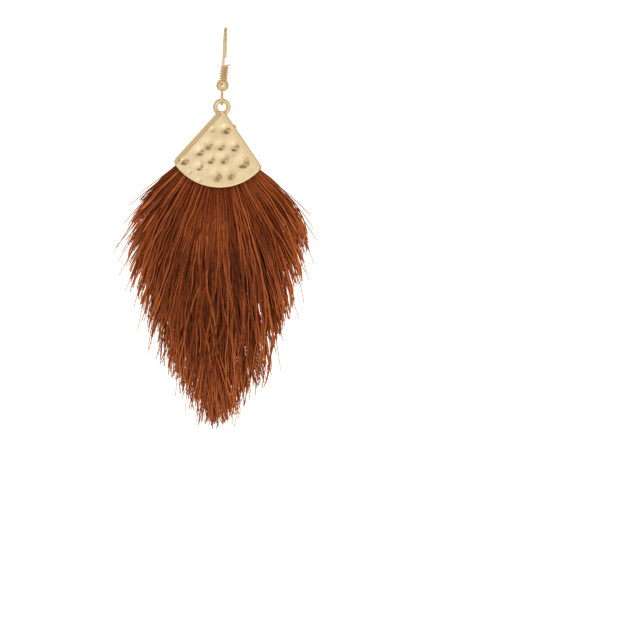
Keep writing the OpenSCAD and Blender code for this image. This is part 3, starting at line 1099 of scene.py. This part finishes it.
class EARRING_OT_tassel(bpy.types.Operator):
    """Lay the threads of the tassel into the mouth of the cap"""

    bl_idname = "earring.add_tassel"
    bl_label = "Add Tassel"
    bl_options = {"REGISTER", "UNDO"}

    def execute(self, context):
        sizes, cap = context.scene.earring_tassel, context.scene.earring_cap
        rng = np.random.default_rng(sizes.seed)
        template = thread_template()
        threads = lay_threads(rng, sizes, lay_tufts(rng, sizes.tufts))

        # The rings of a thread lie a little wider apart at its root
        t = np.linspace(0, 1, template[3] + 1)
        t = t * (1.3 - 0.3 * t)
        flat, far = thread_curves(rng, sizes, cap, threads, t)
        way_on = np.gradient(flat, axis=1)
        way_on /= np.linalg.norm(way_on, axis=2, keepdims=True)
        square = np.stack([way_on[..., 1], -way_on[..., 0]], 2)
        across, nod = thread_waves(rng, threads, far)
        flat = flat + square * across[..., None]

        # Depth: from the mouth's narrow slot to the full body, and thin again at the ends
        clear = 0.2 * MM
        slot_half = (cap.thick - cap.face_wall - cap.wall) / 2 - clear
        slot_middle = (cap.face_wall - cap.wall) / 2
        out = np.minimum(1, far / SWELL_BY)
        swell = np.sin(np.pi / 2 * out)
        body = (sizes.depth / 2 - slot_half - clear) * (1 - THIN_BY * np.minimum(far, 1) ** 3)
        half = slot_half + body * swell
        deep = threads.root_deep[:, None] * (1 - swell) + threads.end_deep[:, None] * swell
        depth = slot_middle * (1 - swell) + half * deep + nod

        # A thread is darker where it lies deep in the tassel, as painted shade, and lighter at the
        # two sides, as painted light
        stray, place = threads.stray, threads.place[:, None]
        painted_depth_shade = 0.3 + 0.7 * np.minimum(np.abs(deep), 1) ** 1.2
        tone = threads.tone[:, None] * np.where(stray[:, None], 1.0, painted_depth_shade)
        left, right = (at_mouth + added * far for at_mouth, added in PAINTED_SIDE_LIGHT)
        # Painted light: threads at the two sides are made lighter, more so towards their ends
        painted_side_share = np.clip((np.abs(place) - MIDDLE) / 0.5, 0, 1)
        tone = np.clip(tone + painted_side_share * np.where(place < 0, left, right), 0, 1)

        paths = np.stack([flat[..., 0], depth, flat[..., 1]], 2)
        paths += np.array(HANG_AT) - [0, 0, cap.ring]
        radius = threads.thick[:, None] / 2 * (0.7 + 0.3 * out)
        radius = radius * (1 - 0.4 * np.clip(4 * t - 3, 0, 1))[None, :]

        silk = thread_material("Silky thread", sizes)
        back = threads.end_deep > DEPTH.core
        front = threads.end_deep < -DEPTH.core
        for name, chosen in (
            ("threads_front", front & ~stray),
            ("threads_core", ~front & ~back & ~stray),
            ("threads_back", back & ~stray),
            ("threads_stray", stray),
        ):
            piece = build_threads(name, template, paths[chosen], radius[chosen], tone[chosen])
            hand_over(piece, "drop", "thread", silk, "tassel")
        return {"FINISHED"}


def light_room(scene):
    """A studio room: soft panels round the earring, and plain white behind it."""
    world = bpy.data.worlds.new("Studio room")
    scene.world = world
    world.use_nodes = True
    tree = world.node_tree
    ray = node(tree, "ShaderNodeTexCoord").outputs["Generated"]
    level = ROOM_LEVEL
    for turn, rise, full, gone, bright in PANELS:
        turn, rise = math.radians(turn), math.radians(rise)
        toward = (
            math.sin(turn) * math.cos(rise),
            -math.cos(turn) * math.cos(rise),
            math.sin(rise),
        )
        facing = node(
            tree, "ShaderNodeVectorMath", {0: ray, 1: toward}, operation="DOT_PRODUCT"
        ).outputs["Value"]
        gone, full = math.cos(math.radians(gone)), math.cos(math.radians(full))
        share = remap(tree, facing, gone, full, interpolation_type="SMOOTHSTEP")
        mixed = {"Factor": share, "A": level, "B": bright}
        level = node(tree, "ShaderNodeMix", mixed).outputs["Result"]
    lit = tree.nodes["Background"]
    warm = ramp(
        tree, level, (0.0, (1, 0.76, 0.44)), (0.8, (1, 0.92, 0.80)), (1.0, (1, 0.985, 0.96))
    )
    fill(tree, lit, {"Color": warm, "Strength": level})
    plain = node(tree, "ShaderNodeBackground", {"Color": (1, 1, 1, 1)})
    seen = node(tree, "ShaderNodeLightPath").outputs["Is Camera Ray"]
    both = node(
        tree,
        "ShaderNodeMixShader",
        {0: seen, 1: lit.outputs["Background"], 2: plain.outputs["Background"]},
    )
    tree.links.new(both.outputs["Shader"], tree.nodes["World Output"].inputs["Surface"])


class EARRING_OT_stage(bpy.types.Operator):
    """Set up the camera, the floor with its backdrop, and the soft light"""

    bl_idname = "earring.add_stage"
    bl_label = "Add Stage"
    bl_options = {"REGISTER", "UNDO"}

    def execute(self, context):
        sizes = context.scene.earring_stage
        scene = context.scene

        # Camera
        deselect()
        sensor = 36.0
        far = sizes.wide * sizes.lens / sensor
        aim = Vector((sizes.across, HANG_AT.y, -sizes.down))
        back = Vector((math.sin(sizes.azimuth), -math.cos(sizes.azimuth), 0))
        bpy.ops.object.camera_add(
            location=aim + back * far, rotation=(math.radians(90), 0, sizes.azimuth)
        )
        camera = context.active_object
        camera.name = "Camera"
        camera.data.lens = sizes.lens
        camera.data.sensor_width = sensor
        camera.data.clip_start = 0.01
        scene.camera = camera

        # Floor and backdrop, one sheet with a swept bend, in metres
        turn_at, turn_high, broad = 1.4, 0.6, 5.0
        sheet = begin(
            "Paper",
            bpy.ops.mesh.primitive_plane_add,
            size=broad,
            location=(0, turn_at - broad / 2, -sizes.floor),
        )
        edit(sheet)
        pick(sheet, "EDGE", lambda item: all(point.co.y > turn_at - MM for point in item.verts))
        bpy.ops.mesh.spin(
            steps=32,
            angle=math.radians(-90),
            center=(0, turn_at, turn_high - sizes.floor),
            axis=(1, 0, 0),
        )
        bpy.ops.mesh.extrude_region_move(TRANSFORM_OT_translate={"value": (0, 0, 1.0)})
        turn_out()
        bpy.ops.object.shade_smooth()
        paper, tree, shader = new_material("Pale paper")
        grain = noise(tree, node(tree, "ShaderNodeTexCoord").outputs["Object"], 60.0)
        pale = tuple(sizes.paper)
        tint = ramp(tree, grain, (0.3, shade(pale, 0.99)), (0.7, pale))
        fill(tree, shader, {"Base Color": tint, "Roughness": 0.9, "Specular IOR Level": 0.1})
        fill(tree, shader, {"Emission Color": (1, 1, 1, 1), "Emission Strength": 0.45})
        sheet.data.materials.append(paper)
        sheet.visible_glossy = False

        # Lights: a broad one from the front, one from above, and a room of soft panels
        for name, place, size, power in (
            ("Key", (0.14, -0.62, -0.24), 0.45, sizes.key),
            ("Top", (0.10, -0.35, 0.45), 0.35, 0.7 * sizes.key),
        ):
            deselect()
            aim_at = Vector((0, 0, -0.05))
            turn = (aim_at - Vector(place)).to_track_quat("-Z", "Y").to_euler()
            bpy.ops.object.light_add(type="AREA", location=place, rotation=turn)
            light = context.active_object
            light.name = name
            light.data.shape = "DISK"
            light.data.size = size
            light.data.energy = power
            light.visible_glossy = False
        light_room(scene)
        scene.view_settings.view_transform = "Standard"
        return {"FINISHED"}


class EARRING_PT_panel(bpy.types.Panel):
    """Lists the pieces of the earring and their sizes"""

    bl_idname = "EARRING_PT_panel"
    bl_label = "Tassel Earring"
    bl_space_type = "VIEW_3D"
    bl_region_type = "UI"
    bl_category = "Tassel Earring"

    def draw(self, context):
        for operators, group in (
            ((EARRING_OT_stage,), "earring_stage"),
            ((EARRING_OT_wire, EARRING_OT_coil), "earring_wire"),
            ((EARRING_OT_cap,), "earring_cap"),
            ((EARRING_OT_tassel,), "earring_tassel"),
        ):
            box = self.layout.box()
            for operator in operators:
                box.operator(operator.bl_idname)
            sizes = getattr(context.scene, group)
            for key in sizes.__annotations__:
                box.prop(sizes, key)


GROUPS = {
    "earring_wire": EARRING_PG_wire,
    "earring_cap": EARRING_PG_cap,
    "earring_tassel": EARRING_PG_tassel,
    "earring_stage": EARRING_PG_stage,
}
CLASSES = (
    *GROUPS.values(),
    EARRING_OT_stage,
    EARRING_OT_wire,
    EARRING_OT_coil,
    EARRING_OT_cap,
    EARRING_OT_tassel,
    EARRING_PT_panel,
)


def register():
    for kind in CLASSES:
        bpy.utils.register_class(kind)
    for name, group in GROUPS.items():
        setattr(bpy.types.Scene, name, PointerProperty(type=group))


def unregister():
    for name in GROUPS:
        delattr(bpy.types.Scene, name)
    for kind in reversed(CLASSES):
        bpy.utils.unregister_class(kind)


def main():
    register()
    bpy.ops.earring.add_stage()
    bpy.ops.earring.finish_wire()
    bpy.ops.earring.add_coil()
    bpy.ops.earring.add_cap()
    bpy.ops.earring.add_tassel()


if __name__ == "__main__":
    main()
